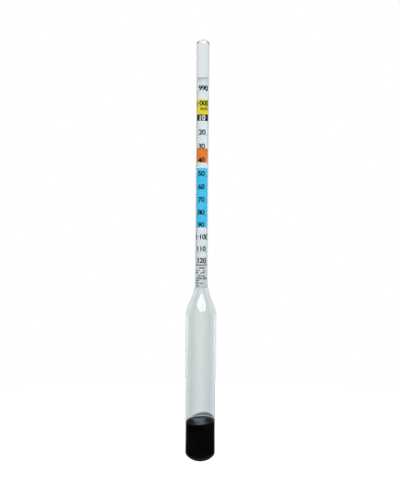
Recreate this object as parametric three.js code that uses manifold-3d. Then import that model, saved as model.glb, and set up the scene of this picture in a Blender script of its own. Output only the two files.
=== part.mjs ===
// A brewing hydrometer: a sealed glass float with a weighted bulb below and a thin stem above.
// A rolled paper scale sits in the stem, and steel shot set in black resin weighs the bulb down.
// Millimetres. +Z runs along the axis from the bottom of the bulb (z = 0) to the tip of the stem.

import * as THREE from 'three';
import { mergeVertices } from 'three/addons/utils/BufferGeometryUtils.js';
import Module from 'manifold-3d';

// Gap between the glass and what is stuck to it
const GLASS_GAP = 0.1;

// Glass envelope
const TOTAL_LENGTH = 250;
const STEM_RADIUS = 3.75;
const STEM_BORE = 3.3;
const BULB_RADIUS = 9.1;
const BULB_BORE = 8.65;
const FUSED_SEAM_Z = 108.5;       // the stem and the bulb are melted together here
const SHOULDER_FOOT_Z = 89;       // the straight wall of the bulb ends here
const SHOULDER_TOP_PULL = 8.5;    // how far each end of the shoulder curve runs straight on
const SHOULDER_FOOT_PULL = 4.5;
const SHOULDER_WALL_DROP = 0.4;   // the inner shoulder curve lies this much lower, for an even wall
const BASE_HEIGHT = 5.8;          // shallow domed bottom
const BASE_GLASS = 0.85;          // thickness of the glass at its lowest point
const BASE_INNER_HEIGHT = 5.0;
const BASE_FULLNESS = 1.8;        // 2 is an ellipse, and less is closer to a cone
const TIP_HEIGHT = 2.3;           // flattened dome that closes the stem
const TIP_GLASS = 0.5;

// Paper scale
const SCALE_BOTTOM_Z = 104.6;
const SCALE_TOP_Z = 227.9;
const PAPER_THICKNESS = 0.12;
const SCALE_RADIUS = 3.2;
const ROLL_TURN_DEGREES = 415;    // the sheet overlaps itself at its seam
const ROLL_START_DEGREES = 60;    // from +X towards +Y, so that the seam is at the back
const ROLL_SPIRAL_STEP = 0.2;     // how much smaller the roll is after one turn

// Dabs of glue that hold the scale at its ends
const GLUE_HEIGHT = 0.9;
const GLUE_INNER_RADIUS = 2.85;   // the dabs reach in under the ends of the paper
const LOWER_GLUE_RADIUS = 3.6;    // the bore is already wider at the lower end of the paper
const GLUE_SPREAD_DEGREES = 70;
const GLUE_GAP = 0.06;            // between a dab and the end of the paper

// Ballast
const RESIN_TOP_Z = 23.9;
const RESIN_SPARE_HEIGHT = 3;     // extra height that the leaning top is cut from
const RESIN_TOP_LEAN_BACK = 4;    // degrees: the resin set while the float leaned a little
const RESIN_TOP_LEAN_SIDE = 3;
const SHOT_RADIUS = 2.5;          // 5 mm steel balls
const SHOT_PITCH = 5.25;
const SHOT_RING_COUNT = 4;
const SHOTS_IN_RING = 6;
const SHOT_RING_RISE = 4.5;       // the rings nest, so they rise less than a full pitch
const LOWEST_SHOT_Z = 3.55;
const LOWEST_RING_Z = 5.7;
const POCKET_RADIUS = 2.88;       // hollow in the resin round each ball, open to the next one

// Fineness of the round surfaces
const ROUND_SEGMENTS = 32;
const DOME_STEPS = 7;
const SHOULDER_STEPS = 9;
const ROLL_STEPS = 44;
const GLUE_STEPS = 8;
const BALL_DETAIL = 1;

const wasm = await Module();
wasm.setup();

const hydrometer = new THREE.Group();

const borosilicate = { color: 0xdfe6e8, roughness: 0.04, metalness: 0 };
const scalePaper = { color: 0xdde6ea, roughness: 0.85, metalness: 0 };
const clearGlue = { color: 0xd8e4dc, roughness: 0.35, metalness: 0 };
const blackResin = { color: 0x0b0b0b, roughness: 0.15, metalness: 0 };
const brightSteel = { color: 0x9a9da0, roughness: 0.3, metalness: 1 };

function addPart(name, geometry, look) {
  const part = new THREE.Mesh(geometry, new THREE.MeshStandardMaterial(look));
  part.name = name;
  hydrometer.add(part);
  return part;
}

function degrees(angle) {
  return THREE.MathUtils.degToRad(angle);
}

// A solid of revolution about Z, from a profile of (radius, height) points.
function turned(profile) {
  const geometry = new THREE.LatheGeometry(profile, ROUND_SEGMENTS);
  geometry.rotateX(Math.PI / 2);
  return geometry;
}

// A dome's profile from the axis out to its rim. It bulges down when height is negative.
function domeProfile(radius, poleZ, height, fullness) {
  const points = [];
  for (let step = 0; step <= DOME_STEPS; step += 1) {
    const angle = (step / DOME_STEPS) * (Math.PI / 2);
    const out = radius * Math.sin(angle) ** (2 / fullness);
    const rise = height * (1 - Math.cos(angle) ** (2 / fullness));
    points.push(new THREE.Vector2(out, poleZ - rise));
  }
  return points;
}

// The shoulder's profile from the bulb wall up to the stem wall.
function shoulderProfile(bulbRadius, stemRadius, footZ) {
  const curve = new THREE.CubicBezierCurve(
    new THREE.Vector2(bulbRadius, footZ),
    new THREE.Vector2(bulbRadius, footZ + SHOULDER_FOOT_PULL),
    new THREE.Vector2(stemRadius, FUSED_SEAM_Z - SHOULDER_TOP_PULL),
    new THREE.Vector2(stemRadius, FUSED_SEAM_Z),
  );
  return curve.getPoints(SHOULDER_STEPS);
}

function stemTube() {
  const outerTip = domeProfile(STEM_RADIUS, TOTAL_LENGTH, TIP_HEIGHT, 2).reverse();
  const innerTip = domeProfile(STEM_BORE, TOTAL_LENGTH - TIP_GLASS, TIP_HEIGHT, 2);
  const openEnd = [
    new THREE.Vector2(STEM_BORE, FUSED_SEAM_Z),
    new THREE.Vector2(STEM_RADIUS, FUSED_SEAM_Z),
  ];
  return turned([...innerTip, ...openEnd, ...outerTip]);
}

function bulbShell() {
  const outerBase = domeProfile(BULB_RADIUS, 0, -BASE_HEIGHT, BASE_FULLNESS);
  const innerBase = domeProfile(BULB_BORE, BASE_GLASS, -BASE_INNER_HEIGHT, BASE_FULLNESS).reverse();
  const outerShoulder = shoulderProfile(BULB_RADIUS, STEM_RADIUS, SHOULDER_FOOT_Z);
  const innerFootZ = SHOULDER_FOOT_Z - SHOULDER_WALL_DROP;
  const innerShoulder = shoulderProfile(BULB_BORE, STEM_BORE, innerFootZ).reverse();
  return turned([...outerBase, ...outerShoulder, ...innerShoulder, ...innerBase]);
}

// A paper sheet rolled a little over one turn, extruded along the stem.
function scaleRoll() {
  const outside = [];
  const inside = [];
  for (let step = 0; step <= ROLL_STEPS; step += 1) {
    const turn = (step / ROLL_STEPS) * ROLL_TURN_DEGREES;
    const angle = degrees(turn + ROLL_START_DEGREES);
    const radius = SCALE_RADIUS - ROLL_SPIRAL_STEP * (turn / 360);
    const inner = radius - PAPER_THICKNESS;
    outside.push(new THREE.Vector2(radius * Math.cos(angle), radius * Math.sin(angle)));
    inside.unshift(new THREE.Vector2(inner * Math.cos(angle), inner * Math.sin(angle)));
  }
  const section = new THREE.Shape([...outside, ...inside]);
  const depth = SCALE_TOP_Z - SCALE_BOTTOM_Z;
  const geometry = new THREE.ExtrudeGeometry(section, { depth, bevelEnabled: false });
  geometry.translate(0, 0, SCALE_BOTTOM_Z);
  return geometry;
}

// A short curved bead against the bore of the stem, standing on z = bottom and facing one side.
function glueDab(outer, bottom, facing) {
  const section = new THREE.Shape();
  const corners = [];
  for (let step = 0; step <= GLUE_STEPS; step += 1) {
    const angle = degrees(facing + GLUE_SPREAD_DEGREES * (step / GLUE_STEPS - 0.5));
    corners.push(new THREE.Vector2(outer * Math.cos(angle), outer * Math.sin(angle)));
    corners.unshift(
      new THREE.Vector2(GLUE_INNER_RADIUS * Math.cos(angle), GLUE_INNER_RADIUS * Math.sin(angle)),
    );
  }
  section.setFromPoints(corners);
  const geometry = new THREE.ExtrudeGeometry(section, { depth: GLUE_HEIGHT, bevelEnabled: false });
  geometry.translate(0, 0, bottom);
  return geometry;
}

// Places of the steel balls: nested rings round a middle column.
function shotCentres() {
  const centres = [];
  for (let ring = 0; ring < SHOT_RING_COUNT; ring += 1) {
    centres.push(new THREE.Vector3(0, 0, LOWEST_SHOT_Z + ring * SHOT_PITCH));
    const twist = ring % 2 === 0 ? 0 : 180 / SHOTS_IN_RING;
    for (let place = 0; place < SHOTS_IN_RING; place += 1) {
      const angle = degrees(twist + (place * 360) / SHOTS_IN_RING);
      const x = SHOT_PITCH * Math.cos(angle);
      const y = SHOT_PITCH * Math.sin(angle);
      centres.push(new THREE.Vector3(x, y, LOWEST_RING_Z + ring * SHOT_RING_RISE));
    }
  }
  return centres;
}

function ball(radius, centre) {
  const geometry = new THREE.IcosahedronGeometry(radius, BALL_DETAIL);
  geometry.translate(centre.x, centre.y, centre.z);
  return geometry;
}

// A closed geometry as a solid for joining and cutting.
function solidOf(geometry) {
  const bare = geometry.clone();
  bare.deleteAttribute('normal');
  bare.deleteAttribute('uv');
  const merged = mergeVertices(bare, 1e-4);
  return new wasm.Manifold(new wasm.Mesh({
    numProp: 3,
    vertProperties: Float32Array.from(merged.attributes.position.array),
    triVerts: Uint32Array.from(merged.index.array),
  }));
}

function geometryOf(solid) {
  const mesh = solid.getMesh();
  const geometry = new THREE.BufferGeometry();
  geometry.setAttribute('position', new THREE.BufferAttribute(mesh.vertProperties, 3));
  geometry.setIndex(new THREE.BufferAttribute(mesh.triVerts, 1));
  geometry.computeVertexNormals();
  return geometry;
}

// The black filling: it follows the inside of the bulb, has a hollow for every ball and a leaning top.
function ballastResin(centres) {
  const radius = BULB_BORE - GLASS_GAP;
  const poleZ = BASE_GLASS + GLASS_GAP;
  const blankTop = RESIN_TOP_Z + RESIN_SPARE_HEIGHT;
  const base = domeProfile(radius, poleZ, -BASE_INNER_HEIGHT, BASE_FULLNESS);
  const lid = [new THREE.Vector2(radius, blankTop), new THREE.Vector2(0, blankTop)];
  let resin = solidOf(turned([...base, ...lid]));

  const cutSize = 40;
  const cutter = new THREE.BoxGeometry(cutSize, cutSize, cutSize);
  cutter.translate(0, 0, cutSize / 2);
  cutter.rotateX(degrees(RESIN_TOP_LEAN_BACK));
  cutter.rotateY(degrees(-RESIN_TOP_LEAN_SIDE));
  cutter.translate(0, 0, RESIN_TOP_Z);
  resin = resin.subtract(solidOf(cutter));

  for (const centre of centres) {
    resin = resin.subtract(solidOf(ball(POCKET_RADIUS, centre)));
  }
  return geometryOf(resin);
}

addPart('stem_tube', stemTube(), borosilicate);
addPart('bulb_shell', bulbShell(), borosilicate);
addPart('scale_roll', scaleRoll(), scalePaper);

const upperGlue = glueDab(STEM_BORE - GLASS_GAP, SCALE_TOP_Z + GLUE_GAP, 0);
addPart('scale_glue_upper', upperGlue, clearGlue);
const lowerGlue = glueDab(LOWER_GLUE_RADIUS, SCALE_BOTTOM_Z - GLUE_GAP - GLUE_HEIGHT, 180);
addPart('scale_glue_lower', lowerGlue, clearGlue);

const shots = shotCentres();
addPart('ballast_resin', ballastResin(shots), blackResin);
shots.forEach((centre, index) => {
  const number = String(index + 1).padStart(2, '0');
  addPart(`shot_${number}`, ball(SHOT_RADIUS, centre), brightSteel);
});

export default hydrometer;
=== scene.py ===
"""The looks of a glass brewing hydrometer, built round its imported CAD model.

Row frame in metres: z = 0 is the bottom of the bulb, +Z runs up the stem, and -Y faces the reader.
"""
import math
import random

import bmesh
import bpy
from mathutils import Matrix, Vector


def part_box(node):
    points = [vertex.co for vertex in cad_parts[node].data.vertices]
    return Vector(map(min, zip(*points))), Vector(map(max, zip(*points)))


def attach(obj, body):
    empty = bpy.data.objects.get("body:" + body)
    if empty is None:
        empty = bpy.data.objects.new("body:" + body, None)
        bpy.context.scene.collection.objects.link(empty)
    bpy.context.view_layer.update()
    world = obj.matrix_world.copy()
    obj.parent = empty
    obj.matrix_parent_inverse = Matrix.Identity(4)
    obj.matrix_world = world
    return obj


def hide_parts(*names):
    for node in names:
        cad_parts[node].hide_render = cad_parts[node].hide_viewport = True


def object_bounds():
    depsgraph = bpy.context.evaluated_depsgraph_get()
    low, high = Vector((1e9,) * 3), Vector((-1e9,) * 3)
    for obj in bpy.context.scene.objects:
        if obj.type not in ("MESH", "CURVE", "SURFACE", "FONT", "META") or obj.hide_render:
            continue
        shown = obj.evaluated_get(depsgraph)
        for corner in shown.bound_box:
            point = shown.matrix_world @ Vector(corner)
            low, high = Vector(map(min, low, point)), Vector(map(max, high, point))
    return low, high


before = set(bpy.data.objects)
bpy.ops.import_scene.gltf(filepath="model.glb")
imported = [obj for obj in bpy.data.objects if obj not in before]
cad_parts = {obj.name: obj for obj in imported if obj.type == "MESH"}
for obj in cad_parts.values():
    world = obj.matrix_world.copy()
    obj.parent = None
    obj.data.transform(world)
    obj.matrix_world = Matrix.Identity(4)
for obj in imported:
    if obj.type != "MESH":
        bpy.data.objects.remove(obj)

cad_low, cad_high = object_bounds()

MM = 0.001
TAU = 2 * math.pi
FRONT = -TAU / 4                    # the reader's side, as an angle from +X

# ---------------------------------------------------------------- sizes that the frame gives
LENGTH = cad_high.z
BULB_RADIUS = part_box("bulb_shell")[1].x
STEM_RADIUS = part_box("stem_tube")[1].x
SEAM_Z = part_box("stem_tube")[0].z
SCALE_BOTTOM, SCALE_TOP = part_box("scale_roll")[0].z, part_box("scale_roll")[1].z
SHOT_NODES = sorted(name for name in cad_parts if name.startswith("shot_"))
SHOT_RADIUS = 2.5 * MM

# ---------------------------------------------------------------- glass
WALL = 0.45 * MM
SHOULDER_FOOT = 89.0 * MM
SHOULDER_TOP_PULL = 8.5 * MM
SHOULDER_FOOT_PULL = 4.5 * MM
SHOULDER_WALL_DROP = 0.4 * MM
BASE_HEIGHT = 5.8 * MM
BASE_GLASS = 0.85 * MM
BASE_INNER_HEIGHT = 5.0 * MM
BASE_FULLNESS = 1.8                 # 2 is an ellipse, and less is closer to a cone
TIP_HEIGHT = 2.3 * MM
TIP_GLASS = 0.5 * MM
ROUND = 128                         # steps round the glass and the resin

# ---------------------------------------------------------------- ballast
RESIN_WALL_GAP = 0.05 * MM
RESIN_BASE_GAP = 0.08 * MM
RESIN_RADIUS = BULB_RADIUS - WALL - RESIN_WALL_GAP
RESIN_POLE = BASE_GLASS + RESIN_BASE_GAP
RESIN_TOP = 23.9 * MM
RESIN_LEAN_BACK = math.radians(4.0)
RESIN_LEAN_SIDE = math.radians(3.0)
RESIN_RIM_EDGE = 0.06 * MM
RESIN_DISH = 0.7 * MM
MENISCUS_RISE = 0.45 * MM
MENISCUS_REACH = 0.55 * MM
SHOT_POCKET = 2.55 * MM
# Painted reflection: a thin grey sheet on the back wall, above the resin, stands in for the black resin's
# reflection in the glass.
PAINTED_REFLECTION_RADIUS = RESIN_RADIUS + 0.02 * MM
PAINTED_REFLECTION_THICKNESS = 0.02 * MM
PAINTED_REFLECTION_MIDDLE = math.radians(69)
PAINTED_REFLECTION_REACH = math.radians(58)
PAINTED_REFLECTION_START = 0.3 * MM              # above the rim of the resin
PAINTED_REFLECTION_RISE = 2.0 * MM
PAINTED_REFLECTION_EDGE = 0.05 * MM              # height left at its two ends
PAINTED_REFLECTION_BLUNTNESS = 0.8               # under 1 makes its arch blunter than a cosine

# ---------------------------------------------------------------- paper scale
PAPER = 0.12 * MM
SCALE_RADIUS = 3.2 * MM
ROLL_START = math.radians(60)
ROLL_TURN = math.radians(415)
ROLL_TUCK = math.radians(300)       # from here on the sheet goes under its own start
ROLL_TUCK_DEPTH = 0.2 * MM
GLUE_INNER_RADIUS = 2.85 * MM
INK = 0.012 * MM                    # thickness of the print, and its gap to the paper
INK_STEP = 0.15 * MM                # the flat print is cut this often before it is bent
INK_SNAP = 0.001 * MM               # corners this close to a cut count as on it, so no slivers are left
MARK_1000 = 211.5 * MM              # height of the 1.000 line
FLOAT_LENGTH = 857.6 * MM           # volume below the 1.000 line over the section of the stem
LINE_THICKNESS = 0.2 * MM
LINE_OUTER_END = 5.4 * MM           # across the paper from the middle of its face
LINE_INNER_END = 2.0 * MM
SHORT_LINE_INNER_END = 2.6 * MM
NUMERAL_RISE = 1.65 * MM            # from a line up to the middle of its number
NUMERAL_HEIGHT = 3.15 * MM
NUMERAL_WEIGHT = 0.032              # how much the strokes are fattened
NUMERAL_SPACING = 0.94
NUMERAL_SNAP = 0.001                # corners closer than this share of the font size become one
HUNDREDS_SQUEEZE = 0.95             # width of 1.000 and 1.100 against the other numbers
NUMERAL_SHIFT = -0.4                # across from the middle, in mm, but for the numbers named here
NUMERAL_SHIFTS = {990: 0.5, 1000: 0.0, 1010: 0.0, 1020: -0.1, 1100: 0.2, 1110: 0.0, 1120: 0.3}

BANDS = (                           # printed colour bands: top, bottom and ink
    (215.4 * MM, 206.6 * MM, "yellow"),
    (206.6 * MM, 202.9 * MM, "black"),
    (186.9 * MM, 178.8 * MM, "orange"),
    (175.5 * MM, 140.65 * MM, "blue"),
)
SMALL_PRINT = (                     # rows of tiny marks in mm: left end, right end, height, letter height
    (-1.2, 4.2, 209.8, 1.6),
    (-4.0, 3.4, 118.5, 0.9),
    (-1.6, 1.7, 116.8, 0.9),
    (-4.2, -1.0, 115.2, 0.8),
    (0.9, 2.2, 115.2, 0.8),
    (-4.2, -2.4, 113.9, 0.8),
    (-0.6, 2.0, 113.9, 0.8),
    (-1.9, 1.9, 112.0, 0.8),
    (-3.6, 3.8, 110.6, 1.2),
    (-4.2, -1.4, 109.3, 0.7),
    (-4.2, -1.9, 107.7, 0.8),
    (-0.8, 0.9, 107.7, 0.7),
    (-4.2, -1.5, 106.1, 0.7),
)

# ---------------------------------------------------------------- studio
CAMERA_ELEVATION = math.radians(3.8)
CAMERA_DISTANCE = 503.6 * MM
CAMERA_LENS = 61.2
CAMERA_AIM = Vector((-0.9 * MM, 0, 127.2 * MM))
CAMERA_ROLL = math.radians(0.42)
FLOOR_DROP = 60 * MM
FLOOR_RADIUS = 0.5

# The board seen through the glass, with a painted shadow of the tube on it: darker bands and lighter bands
# of painted focused light, by the angle from its middle as a share of BOARD_REACH.
BOARD_BRIGHT = 2.0
BOARD_REACH = 0.5
BOARD_PAINTED_TUBE_SHADOW = (
    (0.00, (0.500, 0.500, 0.500)),
    (0.08, (0.415, 0.425, 0.420)),
    (0.22, (0.520, 0.570, 0.590)),
    (0.36, (0.780, 0.790, 0.800)),
    (0.60, (0.700, 0.700, 0.700)),
    (1.00, (0.500, 0.500, 0.500)),
)
BOARD_LOW_START = -0.06             # the painted tube shadow begins at this sine of the elevation, going down
BOARD_LOW_SPEED = 20.0
# The same board from low to high. A height is half of 1 + the sine of the elevation.
BOARD_HEIGHTS = (
    (0.333, (0.74, 0.785, 0.805)),
    (0.420, (0.84, 0.880, 0.880)),
    (0.573, (0.91, 0.950, 0.965)),
)
# What the glass mirrors, by the angle from the middle of the board as a share of half a turn.
ROOM_TURNS = (
    (0.035, (0.010, 0.010, 0.010)),
    (0.055, (0.80, 0.85, 0.87)),
    (0.25, (0.75, 0.80, 0.82)),
    (0.32, (0.006, 0.006, 0.006)),
    (1.00, (0.004, 0.004, 0.004)),
)
ROOM_LOW_START = -0.17              # the board gets narrower from this sine of the elevation down
ROOM_LOW_SPEED = 12.0
ROOM_NARROWER = 0.09
ROOM_HEIGHTS = (
    (0.32, (0.02, 0.02, 0.02)),
    (0.36, (1.0, 1.0, 1.0)),
    (0.60, (1.0, 1.0, 1.0)),
    (0.62, (0.6, 0.6, 0.6)),
)
# The window on the reader's side, as half its width by height, with a dark bar down its middle.
WINDOW_TURN = math.radians(12)
WINDOW_BAR = math.radians(3.5)
WINDOW_BRIGHT = 5.0
WINDOW_WIDTHS = (
    (0.715, 0.00),
    (0.722, 0.12),
    (0.765, 0.15),
    (0.771, 0.17),
    (0.778, 0.30),
    (0.800, 0.36),
)
# A narrow light far behind, which the black resin mirrors. Its middle and half its width change
# evenly with the height. They are given at a height of 0 and of 1, where the light itself is black.
REAR_TURNS = (math.radians(-3.26), math.radians(4.40))
REAR_HALF_WIDTHS = (math.radians(-5.0), math.radians(4.2))
REAR_EDGE = 1.1                     # its light ends at this share of half its width
REAR_FADE = 2.0
REAR_HEIGHTS = (
    (0.588, (0.00, 0.00, 0.00)),
    (0.595, (0.10, 0.10, 0.12)),
    (0.620, (0.30, 0.32, 0.36)),
    (0.651, (0.40, 0.52, 0.64)),
    (0.682, (0.32, 0.47, 0.60)),
    (0.711, (0.34, 0.46, 0.66)),
    (0.741, (0.50, 0.72, 1.00)),
    (0.769, (0.95, 1.50, 1.75)),
    (0.794, (0.36, 0.54, 0.76)),
    (0.820, (0.00, 0.00, 0.00)),
)
# Haze in the room and its pale ceiling, by height.
ROOM_HAZE = (
    (0.59, (0.00, 0.00, 0.00)),
    (0.62, (0.08, 0.07, 0.09)),
    (0.84, (0.08, 0.07, 0.09)),
    (0.88, (0.80, 0.84, 0.86)),
)
# The soft light on the paper, by how far a direction faces the reader's right.
PAPER_BRIGHT = 2.1
PAPER_LIGHT_TURN = math.radians(20)
PAPER_LIGHT = (
    (0.00, (0.60, 0.60, 0.60)),
    (0.45, (0.80, 0.80, 0.80)),
    (1.00, (1.00, 1.00, 1.00)),
)


# ================================================================ materials
def new_material(name):
    """A material with its node tree and its Principled shader."""
    material = bpy.data.materials.new(name)
    material.use_nodes = True
    return material, material.node_tree, material.node_tree.nodes["Principled BSDF"]


def add_noise(tree, scale, detail=4.0, stretch=(1, 1, 1), rough=0.5):
    """A noise in object space, so that its grain has a real size. Returns its factor socket."""
    coordinates = tree.nodes.new("ShaderNodeTexCoord")
    mapping = tree.nodes.new("ShaderNodeMapping")
    mapping.inputs["Scale"].default_value = stretch
    noise = tree.nodes.new("ShaderNodeTexNoise")
    noise.inputs["Scale"].default_value = scale
    noise.inputs["Detail"].default_value = detail
    noise.inputs["Roughness"].default_value = rough
    tree.links.new(coordinates.outputs["Object"], mapping.inputs["Vector"])
    tree.links.new(mapping.outputs["Vector"], noise.inputs["Vector"])
    return noise.outputs["Fac"]


def add_ramp(tree, factor, stops):
    """Colours at places from 0 to 1, blended evenly between them."""
    node = tree.nodes.new("ShaderNodeValToRGB")
    ramp = node.color_ramp.elements
    for element, (place, colour) in zip(ramp, (stops[0], stops[-1])):
        element.position = place
        element.color = (*colour, 1)
    for place, colour in stops[1:-1]:
        ramp.new(place).color = (*colour, 1)
    tree.links.new(factor, node.inputs["Fac"])
    return node.outputs["Color"]


def add_range(tree, factor, low, high):
    """The factor spread from low to high."""
    spread = tree.nodes.new("ShaderNodeMapRange")
    spread.inputs["To Min"].default_value = low
    spread.inputs["To Max"].default_value = high
    tree.links.new(factor, spread.inputs["Value"])
    return spread.outputs["Result"]


def add_bump(tree, shader, height, strength, distance):
    bump = tree.nodes.new("ShaderNodeBump")
    bump.inputs["Strength"].default_value = strength
    bump.inputs["Distance"].default_value = distance
    tree.links.new(height, bump.inputs["Height"])
    tree.links.new(bump.outputs["Normal"], shader.inputs["Normal"])


def mottle(tree, shader, noise, dark, light, start=0.35, end=0.65):
    """A base colour that wanders from dark to light with a noise."""
    tree.links.new(add_ramp(tree, noise, ((start, dark), (end, light))), shader.inputs["Base Color"])


def glass_material():
    """Drawn glass: clear, faintly grey-green, with long shallow waves along the tube."""
    material, tree, shader = new_material("envelope_glass")
    shader.inputs["Base Color"].default_value = (0.965, 0.975, 0.975, 1)
    shader.inputs["Roughness"].default_value = 0.0
    shader.inputs["IOR"].default_value = 1.47
    shader.inputs["Transmission Weight"].default_value = 1.0
    waves = add_noise(tree, 260, detail=2, stretch=(1, 1, 0.12))
    add_bump(tree, shader, waves, 0.12, 0.00012)
    return material


def printed_paper(name, dark, light):
    """Paper with its ink: fine fibres, slight mottling and a dull, slightly rough face."""
    material, tree, shader = new_material(name)
    mottle(tree, shader, add_noise(tree, 1500, detail=6, rough=0.65), dark, light)
    fibres = add_noise(tree, 9000, detail=3, stretch=(1, 1, 0.35))
    tree.links.new(add_range(tree, fibres, 0.7, 0.95), shader.inputs["Roughness"])
    add_bump(tree, shader, fibres, 0.35, 0.00002)
    return material


def ink_material(name, dark, light):
    """A thin printed ink that breaks up a little over the fibres."""
    material, tree, shader = new_material(name)
    mottle(tree, shader, add_noise(tree, 6000, detail=4), dark, light, 0.4, 0.75)
    shader.inputs["Roughness"].default_value = 0.55
    return material


def resin_material():
    """Poured black resin: deep gloss with slow ripples and specks of dust."""
    material, tree, shader = new_material("black_resin")
    mottle(tree, shader, add_noise(tree, 420, detail=5), (0.0022, 0.0022, 0.0025), (0.0044, 0.0044, 0.0047))
    dust = add_noise(tree, 2600, detail=6)
    tree.links.new(add_range(tree, dust, 0.01, 0.06), shader.inputs["Roughness"])
    shader.inputs["IOR"].default_value = 1.5
    ripple = add_noise(tree, 300, detail=3)
    add_bump(tree, shader, ripple, 0.06, 0.0002)
    return material


def painted_reflection_material():
    """Painted reflection of the black resin in the back wall of the glass: a patchy, dull grey."""
    material, tree, shader = new_material("painted_resin_reflection")
    patches = add_noise(tree, 700, detail=5, stretch=(1, 1, 2))
    mottle(tree, shader, patches, (0.24, 0.26, 0.27), (0.40, 0.43, 0.44))
    shader.inputs["Roughness"].default_value = 0.6
    return material


def glue_material():
    """A dried dab of clear glue, a little green and cloudy."""
    material, tree, shader = new_material("scale_glue")
    cloud = add_noise(tree, 1800, detail=4)
    mottle(tree, shader, cloud, (0.62, 0.76, 0.68), (0.76, 0.86, 0.80))
    shader.inputs["Roughness"].default_value = 0.3
    add_bump(tree, shader, cloud, 0.3, 0.00005)
    return material


def steel_material():
    """Bright steel balls with fine scuffs."""
    material, tree, shader = new_material("steel_shot")
    scuffs = add_noise(tree, 2200, detail=7, stretch=(1, 1, 3))
    mottle(tree, shader, scuffs, (0.36, 0.37, 0.38), (0.60, 0.61, 0.62))
    tree.links.new(add_range(tree, scuffs, 0.18, 0.42), shader.inputs["Roughness"])
    shader.inputs["Metallic"].default_value = 1.0
    return material


GLASS = glass_material()
PAPERS = {
    "white": printed_paper("scale_paper_white", (0.66, 0.72, 0.75), (0.76, 0.81, 0.84)),
    "yellow": printed_paper("scale_paper_yellow", (0.70, 0.62, 0.010), (0.82, 0.74, 0.016)),
    "black": printed_paper("scale_paper_black", (0.010, 0.010, 0.022), (0.022, 0.022, 0.040)),
    "orange": printed_paper("scale_paper_orange", (0.70, 0.165, 0.012), (0.82, 0.215, 0.018)),
    "blue": printed_paper("scale_paper_blue", (0.035, 0.50, 0.78), (0.050, 0.58, 0.88)),
}
DARK_INK = ink_material("ink_dark", (0.006, 0.007, 0.016), (0.018, 0.020, 0.036))
PALE_INK = ink_material("ink_pale", (0.66, 0.70, 0.74), (0.78, 0.81, 0.84))
RESIN = resin_material()
RESIN_REFLECTION_PAINT = painted_reflection_material()
GLUE = glue_material()
STEEL = steel_material()


# ================================================================ mesh helpers
def finish_object(name, mesh, materials, slot, *replaced):
    """Links a mesh as a smooth piece on the one body and hides the nodes it stands for. The slot is not
    used.
    """
    for material in materials:
        mesh.materials.append(material)
    piece = bpy.data.objects.new(name, mesh)
    bpy.context.scene.collection.objects.link(piece)
    mesh.shade_smooth()
    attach(piece, "root")
    if replaced:
        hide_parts(*replaced)
    return piece


def to_mesh(name, build):
    mesh = bpy.data.meshes.new(name)
    build.to_mesh(mesh)
    build.free()
    return mesh


def middle(node):
    low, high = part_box(node)
    return (low + high) / 2


def on_circle(radius, angle, z):
    return Vector((radius * math.cos(angle), radius * math.sin(angle), z))


def skin(build, rings, flip=False):
    """Faces between rings of points, one after the other. A ring of one point is a pole."""
    for low, high in zip(rings, rings[1:]):
        count = max(len(low), len(high))
        for step in range(count):
            following = (step + 1) % count
            if len(low) == 1:
                corners = [low[0], high[following], high[step]]
            elif len(high) == 1:
                corners = [low[step], low[following], high[0]]
            else:
                corners = [low[step], low[following], high[following], high[step]]
            build.faces.new(corners[::-1] if flip else corners)


def add_shell(build, profile, flip=False, lift=None):
    """Turns a profile of (radius, z) from one pole to the other into a closed shell.
    lift(angle, radius) adds height where a point of the profile has a third value, True."""
    rings = []
    for radius, z, *lifted in profile:
        steps = ROUND if radius > 1e-9 else 1
        ring = []
        for step in range(steps):
            angle = TAU * step / steps
            rise = lift(angle, radius) if lifted else 0.0
            ring.append(build.verts.new(on_circle(radius, angle, z + rise)))
        rings.append(ring)
    skin(build, rings, flip)


def dome(radius, pole, height, fullness, steps=24):
    """Points from the pole out to the rim. A positive height opens upwards."""
    points = []
    for step in range(steps + 1):
        angle = step / steps * TAU / 4
        out = radius * math.sin(angle) ** (2 / fullness)
        rise = height * (1 - max(math.cos(angle), 0.0) ** (2 / fullness))
        points.append((out, pole + rise))
    return points


def shoulder(foot_radius, top_radius, foot_z, steps=48):
    """Points up the shoulder, from the wall of the bulb to the wall of the stem."""
    corners = (
        (foot_radius, foot_z),
        (foot_radius, foot_z + SHOULDER_FOOT_PULL),
        (top_radius, SEAM_Z - SHOULDER_TOP_PULL),
        (top_radius, SEAM_Z),
    )
    points = []
    for step in range(steps + 1):
        t = step / steps
        weights = ((1 - t) ** 3, 3 * t * (1 - t) ** 2, 3 * t * t * (1 - t), t ** 3)
        points.append(tuple(sum(w * c[axis] for w, c in zip(weights, corners)) for axis in (0, 1)))
    return points


# ================================================================ glass envelope
def make_envelope():
    """One melted piece of glass with a sealed hollow: an outer shell and an inner one."""
    outer = dome(BULB_RADIUS, 0, BASE_HEIGHT, BASE_FULLNESS)
    outer += shoulder(BULB_RADIUS, STEM_RADIUS, SHOULDER_FOOT)
    outer += dome(STEM_RADIUS, LENGTH, -TIP_HEIGHT, 2)[::-1]
    inner = dome(BULB_RADIUS - WALL, BASE_GLASS, BASE_INNER_HEIGHT, BASE_FULLNESS)
    inner += shoulder(BULB_RADIUS - WALL, STEM_RADIUS - WALL, SHOULDER_FOOT - SHOULDER_WALL_DROP)
    inner += dome(STEM_RADIUS - WALL, LENGTH - TIP_GLASS, -TIP_HEIGHT, 2)[::-1]
    build = bmesh.new()
    add_shell(build, outer)
    add_shell(build, inner, flip=True)
    mesh = to_mesh("glass_envelope", build)
    finish_object("glass_envelope", mesh, [GLASS], "envelope_glass", "stem_tube", "bulb_shell")


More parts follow.
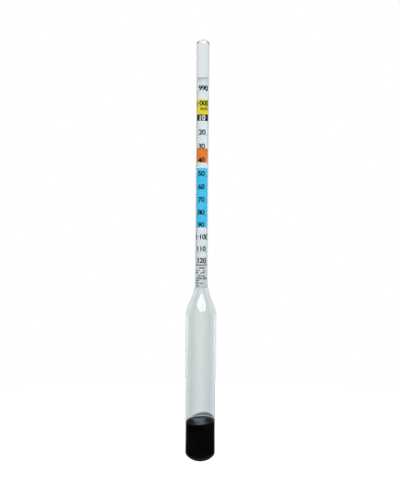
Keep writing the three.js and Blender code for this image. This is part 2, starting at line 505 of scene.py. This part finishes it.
# ================================================================ ballast
def resin_lift(angle, radius):
    """The leaning, slightly dished top of the resin, and the meniscus where it meets the glass."""
    x, y = radius * math.cos(angle), radius * math.sin(angle)
    lean = y * math.tan(RESIN_LEAN_BACK) + x * math.tan(RESIN_LEAN_SIDE)
    dish = RESIN_DISH * ((radius / RESIN_RADIUS) ** 2 - 0.5)
    return lean + dish + MENISCUS_RISE * math.exp((radius - RESIN_RADIUS) / MENISCUS_REACH)


def make_resin():
    """The black filling, with a hollow for every ball set in it."""
    profile = dome(RESIN_RADIUS, RESIN_POLE, BASE_INNER_HEIGHT, BASE_FULLNESS)
    for below in (2, 1):
        profile.append((RESIN_RADIUS, RESIN_TOP - below * RESIN_RIM_EDGE, True))
    steps = 28
    for step in range(steps + 1):
        share = (1 - step / steps) ** 0.6
        profile.append((RESIN_RADIUS * share, RESIN_TOP, True))
    build = bmesh.new()
    add_shell(build, profile, lift=resin_lift)
    for node in SHOT_NODES:
        place = Matrix.Translation(middle(node))
        hollow = bmesh.ops.create_icosphere(build, subdivisions=4, radius=SHOT_POCKET, matrix=place)
        faces = {face for vertex in hollow["verts"] for face in vertex.link_faces}
        bmesh.ops.reverse_faces(build, faces=list(faces))
    mesh = to_mesh("ballast_resin_fill", build)
    finish_object("ballast_resin_fill", mesh, [RESIN], "black_resin", "ballast_resin")


def make_painted_reflection():
    """A thin grey sheet on the back wall, just above the filling: a painted reflection of the black resin
    in the glass.
    """
    build = bmesh.new()
    steps = 48
    rings = []
    for step in range(steps + 1):
        share = 2 * step / steps - 1
        angle = PAINTED_REFLECTION_MIDDLE + share * PAINTED_REFLECTION_REACH
        low = RESIN_TOP + resin_lift(angle, RESIN_RADIUS) + PAINTED_REFLECTION_START
        high = low + PAINTED_REFLECTION_EDGE + PAINTED_REFLECTION_RISE * math.cos(share * TAU / 4) ** PAINTED_REFLECTION_BLUNTNESS
        inner = PAINTED_REFLECTION_RADIUS - PAINTED_REFLECTION_THICKNESS / 2
        outer = PAINTED_REFLECTION_RADIUS + PAINTED_REFLECTION_THICKNESS / 2
        corners = ((outer, low), (outer, high), (inner, high), (inner, low))
        rings.append([build.verts.new(on_circle(radius, angle, z)) for radius, z in corners])
    skin(build, rings, flip=True)
    build.faces.new(rings[0])
    build.faces.new(rings[-1][::-1])
    bmesh.ops.recalc_face_normals(build, faces=build.faces[:])
    mesh = to_mesh("ballast_painted_reflection", build)
    reflection_sheet = finish_object("ballast_painted_reflection", mesh, [RESIN_REFLECTION_PAINT], "black_resin")
    reflection_sheet.visible_glossy = False    # else it covers the highlight in the top of the resin


def make_shot(node):
    build = bmesh.new()
    place = Matrix.Translation(middle(node))
    bmesh.ops.create_icosphere(build, subdivisions=4, radius=SHOT_RADIUS, matrix=place)
    mesh = to_mesh("steel_" + node, build)
    finish_object("steel_" + node, mesh, [STEEL], "steel_shot", node)


# ================================================================ paper scale
def roll_radius(turn):
    """Outer radius of the rolled sheet after an angle of turn from its outer edge."""
    under = (turn - ROLL_TUCK) / (TAU - ROLL_TUCK)
    share = min(max(under, 0.0), 1.0)
    return SCALE_RADIUS - ROLL_TUCK_DEPTH * share * share * (3 - 2 * share)


def band_at(z):
    for top, bottom, colour in BANDS:
        if bottom < z < top:
            return colour
    return "white"


def make_scale():
    """One sheet rolled past a full turn. The print bands run round its outer face."""
    colours = list(PAPERS)
    heights = {SCALE_BOTTOM, SCALE_TOP}
    for top, bottom, _ in BANDS:
        heights |= {top, bottom}
    heights = sorted(heights)
    steps = 160
    build = bmesh.new()
    outside, inside = [], []
    for step in range(steps + 1):
        turn = ROLL_TURN * step / steps
        radius = roll_radius(turn)
        outside.append([build.verts.new(on_circle(radius, ROLL_START + turn, z)) for z in heights])
        inside.append([build.verts.new(on_circle(radius - PAPER, ROLL_START + turn, z)) for z in heights])
    last = len(heights) - 1
    for step in range(steps):
        out_0, out_1, in_0, in_1 = outside[step], outside[step + 1], inside[step], inside[step + 1]
        for level in range(last):
            face = build.faces.new((out_0[level], out_1[level], out_1[level + 1], out_0[level + 1]))
            face.material_index = colours.index(band_at((heights[level] + heights[level + 1]) / 2))
            build.faces.new((in_0[level + 1], in_1[level + 1], in_1[level], in_0[level]))
        build.faces.new((in_0[0], in_1[0], out_1[0], out_0[0]))
        build.faces.new((out_0[last], out_1[last], in_1[last], in_0[last]))
    for near, far in ((outside[0], inside[0]), (inside[-1], outside[-1])):
        for level in range(last):
            build.faces.new((near[level], near[level + 1], far[level + 1], far[level]))
    mesh = to_mesh("scale_paper", build)
    finish_object("scale_paper", mesh, list(PAPERS.values()), "scale_paper", "scale_roll")


def make_glue(name, node, facing):
    """A rounded bead of glue along the wall of the stem, tapering to both ends."""
    low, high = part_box(node)
    outer = max(high.x, -low.x)
    reach = math.asin(high.y / outer)
    half_height = (high.z - low.z) / 2
    half_depth = (outer - GLUE_INNER_RADIUS) / 2
    steps, sides = 32, 16
    build = bmesh.new()
    rings = []
    for step in range(steps + 1):
        share = 2 * step / steps - 1
        fat = math.sqrt(1 - share * share)
        ring = []
        for side in range(sides if fat > 0 else 1):
            around = TAU * side / sides
            radius = outer - half_depth * (1 - fat * math.cos(around))
            z = (low.z + high.z) / 2 + half_height * fat * math.sin(around)
            ring.append(build.verts.new(on_circle(radius, facing + share * reach, z)))
        rings.append(ring)
    skin(build, rings)
    bmesh.ops.recalc_face_normals(build, faces=build.faces[:])
    finish_object(name, to_mesh(name, build), [GLUE], "scale_glue", node)


def line_height(gravity):
    """Height of the line for a specific gravity, from the law of flotation."""
    return MARK_1000 - FLOAT_LENGTH * (1 - 1 / gravity)


def wrap(build):
    """Rolls flat print, x across and z up, round the paper, and gives it the ink's thickness."""
    reach = max(abs(v.co.x) for v in build.verts)
    cuts = int(reach / INK_STEP) + 1
    for index in range(-cuts, cuts + 1):
        everything = build.verts[:] + build.edges[:] + build.faces[:]
        cut_at = (index * INK_STEP, 0, 0)
        bmesh.ops.bisect_plane(build, geom=everything, dist=INK_SNAP, plane_co=cut_at, plane_no=(1, 0, 0))
    bmesh.ops.remove_doubles(build, verts=build.verts[:], dist=INK_SNAP)
    bmesh.ops.dissolve_degenerate(build, edges=build.edges[:], dist=INK_SNAP)
    for vertex in build.verts:
        vertex.co = on_circle(SCALE_RADIUS + INK, FRONT + vertex.co.x / SCALE_RADIUS, vertex.co.z)
    top = bmesh.ops.extrude_face_region(build, geom=build.faces[:])
    for item in top["geom"]:
        if isinstance(item, bmesh.types.BMVert):
            grown = 1 + INK / item.co.xy.length
            item.co = (item.co.x * grown, item.co.y * grown, item.co.z)
    bmesh.ops.recalc_face_normals(build, faces=build.faces[:])


def flat_text(words, height, squeeze):
    """Digits as a flat mesh in x and z, centred on the origin."""
    curve = bpy.data.curves.new("digits", "FONT")
    curve.body = words
    curve.size = 1.0
    curve.offset = NUMERAL_WEIGHT
    curve.space_character = NUMERAL_SPACING
    curve.resolution_u = 6
    letters = bpy.data.objects.new("digits", curve)
    bpy.context.scene.collection.objects.link(letters)
    graph = bpy.context.evaluated_depsgraph_get()
    mesh = bpy.data.meshes.new_from_object(letters.evaluated_get(graph))
    bpy.data.objects.remove(letters)
    bpy.data.curves.remove(curve)
    build = bmesh.new()
    build.from_mesh(mesh)
    bpy.data.meshes.remove(mesh)
    bmesh.ops.remove_doubles(build, verts=build.verts[:], dist=NUMERAL_SNAP)
    across = [v.co.x for v in build.verts]
    up = [v.co.y for v in build.verts]
    centre_x, centre_y = (min(across) + max(across)) / 2, (min(up) + max(up)) / 2
    grow = height / (max(up) - min(up))
    for vertex in build.verts:
        x, y = vertex.co.x - centre_x, vertex.co.y - centre_y
        vertex.co = (x * grow * squeeze, 0, y * grow)
    return build


def add_box(build, x0, x1, z0, z1):
    """A flat rectangle of print."""
    corners = [build.verts.new(place) for place in ((x0, 0, z0), (x1, 0, z0), (x1, 0, z1), (x0, 0, z1))]
    build.faces.new(corners)


def joined(builds):
    """Several prints as one mesh."""
    total = bmesh.new()
    for build in builds:
        scrap = bpy.data.meshes.new("scrap")
        build.to_mesh(scrap)
        build.free()
        total.from_mesh(scrap)
        bpy.data.meshes.remove(scrap)
    return total


def make_print(name, build, ink):
    wrap(build)
    finish_object(name, to_mesh(name, build), [ink], "scale_paper")


def numeral(gravity):
    """The digits for a line of the scale: all of them for 1.000 and 1.100, and else the last ones."""
    if gravity % 100 == 0:
        words = f"{gravity // 1000}·{gravity % 1000:03d}"
        digits = flat_text(words, NUMERAL_HEIGHT, HUNDREDS_SQUEEZE)
    else:
        digits = flat_text(str(gravity % 1000), NUMERAL_HEIGHT, 1.0)
    across = NUMERAL_SHIFTS.get(gravity, NUMERAL_SHIFT) * MM
    up = line_height(gravity / 1000) + NUMERAL_RISE
    bmesh.ops.translate(digits, verts=digits.verts[:], vec=(across, 0, up))
    return digits


def make_numerals():
    """The specific gravity numbers, each just above its line."""
    dark = [numeral(gravity) for gravity in range(990, 1121, 10) if gravity != 1010]
    make_print("scale_numbers", joined(dark), DARK_INK)
    make_print("scale_number_on_black", numeral(1010), PALE_INK)


def make_lines():
    """Graduation lines: long ones by each number on both sides, short ones down the left."""
    lines = bmesh.new()
    for point in range(990, 1121, 2):
        low = line_height(point / 1000) - LINE_THICKNESS / 2
        high = low + LINE_THICKNESS
        if point % 10 == 0:
            add_box(lines, -LINE_OUTER_END, -LINE_INNER_END, low, high)
            add_box(lines, LINE_INNER_END, LINE_OUTER_END, low, high)
        else:
            add_box(lines, -LINE_OUTER_END, -SHORT_LINE_INNER_END, low, high)
    edge = SCALE_TOP - LINE_THICKNESS
    add_box(lines, -LINE_OUTER_END, LINE_OUTER_END, edge - LINE_THICKNESS, edge)
    make_print("scale_lines", lines, DARK_INK)


def mark_row(chance, start, end, tall):
    """Ends of a row of tiny marks, uneven like small print."""
    while start < end:
        wide = tall * chance.uniform(0.3, 0.6)
        yield start * MM, (start + wide) * MM
        start += wide + tall * chance.uniform(0.15, 0.4)


def make_small_print():
    """Rows of tiny marks where a real scale has its small print."""
    chance = random.Random(3)
    marks = bmesh.new()
    for left, right, z, tall in SMALL_PRINT:
        for start, end in mark_row(chance, left, right, tall):
            add_box(marks, start, end, (z - tall / 2) * MM, (z + tall / 2) * MM)
    make_print("scale_small_print", marks, DARK_INK)


# ================================================================ stage, light and camera
def make_floor():
    """A plain pale floor. The glass shows the board and the room instead of it."""
    build = bmesh.new()
    bmesh.ops.create_circle(build, cap_ends=True, segments=96, radius=FLOOR_RADIUS)
    floor = bpy.data.objects.new("floor", to_mesh("floor", build))
    floor.location.z = -FLOOR_DROP
    floor.visible_glossy = False
    floor.visible_transmission = False
    material, tree, shader = new_material("floor_white")
    mottle(tree, shader, add_noise(tree, 8, detail=2), (0.90, 0.90, 0.90), (0.93, 0.93, 0.93))
    shader.inputs["Roughness"].default_value = 0.9
    floor.data.materials.append(material)
    bpy.context.scene.collection.objects.link(floor)


def add_maths(tree, kind, *values, clamp=False):
    """One maths node. Each input is a number or a socket."""
    node = tree.nodes.new("ShaderNodeMath")
    node.operation = kind
    node.use_clamp = clamp
    for socket, value in zip(node.inputs, values):
        if isinstance(value, (int, float)):
            socket.default_value = value
        else:
            tree.links.new(value, socket)
    return node.outputs["Value"]


def add_mix(tree, factor, first, second, kind="MIX"):
    """Two colours mixed. The factor and the colours are plain values or sockets."""
    node = tree.nodes.new("ShaderNodeMix")
    node.data_type = "RGBA"
    node.blend_type = kind
    for name, value in (("Factor", factor), ("A", first), ("B", second)):
        if isinstance(value, (float, tuple)):
            node.inputs[name].default_value = value
        else:
            tree.links.new(value, node.inputs[name])
    return node.outputs["Result"]


def grey(value):
    return (value, value, value, 1.0)


def low_down(tree, up, start, speed):
    """0 above a height, and growing to 1 below it. Here up and start are sines of the elevation."""
    return add_maths(tree, "MULTIPLY_ADD", up, -speed, start * speed, clamp=True)


def board_light(tree, off_middle, up, height):
    """A light grey board, with a painted shadow of the tube in darker and lighter bands only below its
    plain upper part.
    """
    painted_tube_shadow = add_ramp(tree, add_maths(tree, "DIVIDE", off_middle, BOARD_REACH), BOARD_PAINTED_TUBE_SHADOW)
    lowness = low_down(tree, up, BOARD_LOW_START, BOARD_LOW_SPEED)
    board = add_mix(tree, lowness, grey(1 / BOARD_BRIGHT), painted_tube_shadow)
    board = add_mix(tree, 1.0, board, add_ramp(tree, height, BOARD_HEIGHTS), "MULTIPLY")
    return add_mix(tree, 1.0, board, grey(BOARD_BRIGHT), "MULTIPLY")


def window_light(tree, across, away, height):
    """A window with a dark bar, wider at its top."""
    turn = add_maths(tree, "ARCTAN2", across, add_maths(tree, "MULTIPLY", away, -1.0))
    off_window = add_maths(tree, "ABSOLUTE", add_maths(tree, "SUBTRACT", turn, WINDOW_TURN))
    widths = tuple((at, (width, width, width)) for at, width in WINDOW_WIDTHS)
    half_width = add_ramp(tree, height, widths)
    inside = add_maths(tree, "LESS_THAN", add_maths(tree, "DIVIDE", off_window, math.pi), half_width)
    clear = add_maths(tree, "GREATER_THAN", off_window, WINDOW_BAR)
    return add_maths(tree, "MULTIPLY", add_maths(tree, "MULTIPLY", inside, clear), WINDOW_BRIGHT)


def room_light(tree, across, away, up, turn, off_middle, height):
    """A dark room with the bright board, a window on the reader's side and a narrow light behind."""
    lowness = low_down(tree, up, ROOM_LOW_START, ROOM_LOW_SPEED)
    narrower = add_maths(tree, "MULTIPLY", lowness, ROOM_NARROWER)
    share = add_maths(tree, "MULTIPLY_ADD", off_middle, 1 / math.pi, narrower)
    by_turn = add_ramp(tree, share, ROOM_TURNS)
    by_height = add_ramp(tree, height, ROOM_HEIGHTS)
    room = add_mix(tree, 1.0, by_turn, by_height, "MULTIPLY")
    room = add_mix(tree, 1.0, room, add_ramp(tree, height, ROOM_HAZE), "ADD")
    room = add_mix(tree, 1.0, room, window_light(tree, across, away, height), "ADD")
    return add_mix(tree, 1.0, room, rear_light(tree, turn, height), "ADD")


def between(tree, height, ends):
    """A value that goes evenly from one end to the other as the height goes from 0 to 1."""
    return add_maths(tree, "MULTIPLY_ADD", height, ends[1] - ends[0], ends[0])


def rear_light(tree, turn, height):
    """A narrow light with soft sides."""
    off_rear = add_maths(tree, "ABSOLUTE", add_maths(tree, "ADD", turn, between(tree, height, REAR_TURNS)))
    share = add_maths(tree, "DIVIDE", off_rear, between(tree, height, REAR_HALF_WIDTHS))
    inside = add_maths(tree, "MULTIPLY_ADD", share, -REAR_FADE, REAR_FADE * REAR_EDGE, clamp=True)
    return add_mix(tree, inside, grey(0.0), add_ramp(tree, height, REAR_HEIGHTS))


def paper_light(tree, across, away):
    """A soft light from the reader's right."""
    towards = add_maths(tree, "MULTIPLY", across, 0.5 * math.sin(PAPER_LIGHT_TURN))
    towards = add_maths(tree, "MULTIPLY_ADD", away, -0.5 * math.cos(PAPER_LIGHT_TURN), towards)
    share = add_maths(tree, "ADD", towards, 0.5)
    return add_mix(tree, 1.0, add_ramp(tree, share, PAPER_LIGHT), grey(PAPER_BRIGHT), "MULTIPLY")


def make_world():
    """Different surroundings for each kind of ray, and not one physical studio. White to the camera.
    Through the glass a light grey board, in reflections a dark room with a window, and on dull
    surfaces a soft light from the reader's side."""
    world = bpy.data.worlds.new("studio")
    bpy.context.scene.world = world
    world.use_nodes = True
    tree = world.node_tree
    place = tree.nodes.new("ShaderNodeTexCoord")
    parts = tree.nodes.new("ShaderNodeSeparateXYZ")
    tree.links.new(place.outputs["Generated"], parts.inputs["Vector"])
    across, away, up = (parts.outputs[axis] for axis in "XYZ")
    height = add_maths(tree, "MULTIPLY_ADD", up, 0.5, 0.5)
    turn = add_maths(tree, "ARCTAN2", across, away)
    off_middle = add_maths(tree, "ABSOLUTE", turn)
    board = board_light(tree, off_middle, up, height)
    room = room_light(tree, across, away, up, turn, off_middle, height)
    paper = paper_light(tree, across, away)
    path = tree.nodes.new("ShaderNodeLightPath")
    colour = grey(1.0)
    for depth, seen in (("Transmission Depth", board), ("Glossy Depth", room), ("Diffuse Depth", paper)):
        colour = add_mix(tree, add_maths(tree, "GREATER_THAN", path.outputs[depth], 0.5), colour, seen)
    tree.links.new(colour, tree.nodes["Background"].inputs["Color"])


def make_camera():
    camera = bpy.data.cameras.new("camera")
    camera.lens = CAMERA_LENS
    camera.sensor_width = 36
    camera.clip_start = 0.01
    eye = bpy.data.objects.new("camera", camera)
    back = Vector((0, -math.cos(CAMERA_ELEVATION), math.sin(CAMERA_ELEVATION)))
    eye.location = CAMERA_AIM + back * CAMERA_DISTANCE
    look = (-back).to_track_quat("-Z", "Y").to_matrix()
    eye.rotation_euler = (look @ Matrix.Rotation(CAMERA_ROLL, 3, "Z")).to_euler()
    bpy.context.scene.collection.objects.link(eye)
    bpy.context.scene.camera = eye


make_camera()
make_world()
make_floor()
bpy.context.scene.view_settings.view_transform = "Standard"

make_envelope()
make_resin()
make_painted_reflection()
for shot in SHOT_NODES:
    make_shot(shot)
make_scale()
make_glue("glue_bead_upper", "scale_glue_upper", 0)
make_glue("glue_bead_lower", "scale_glue_lower", TAU / 2)
make_numerals()
make_lines()
make_small_print()
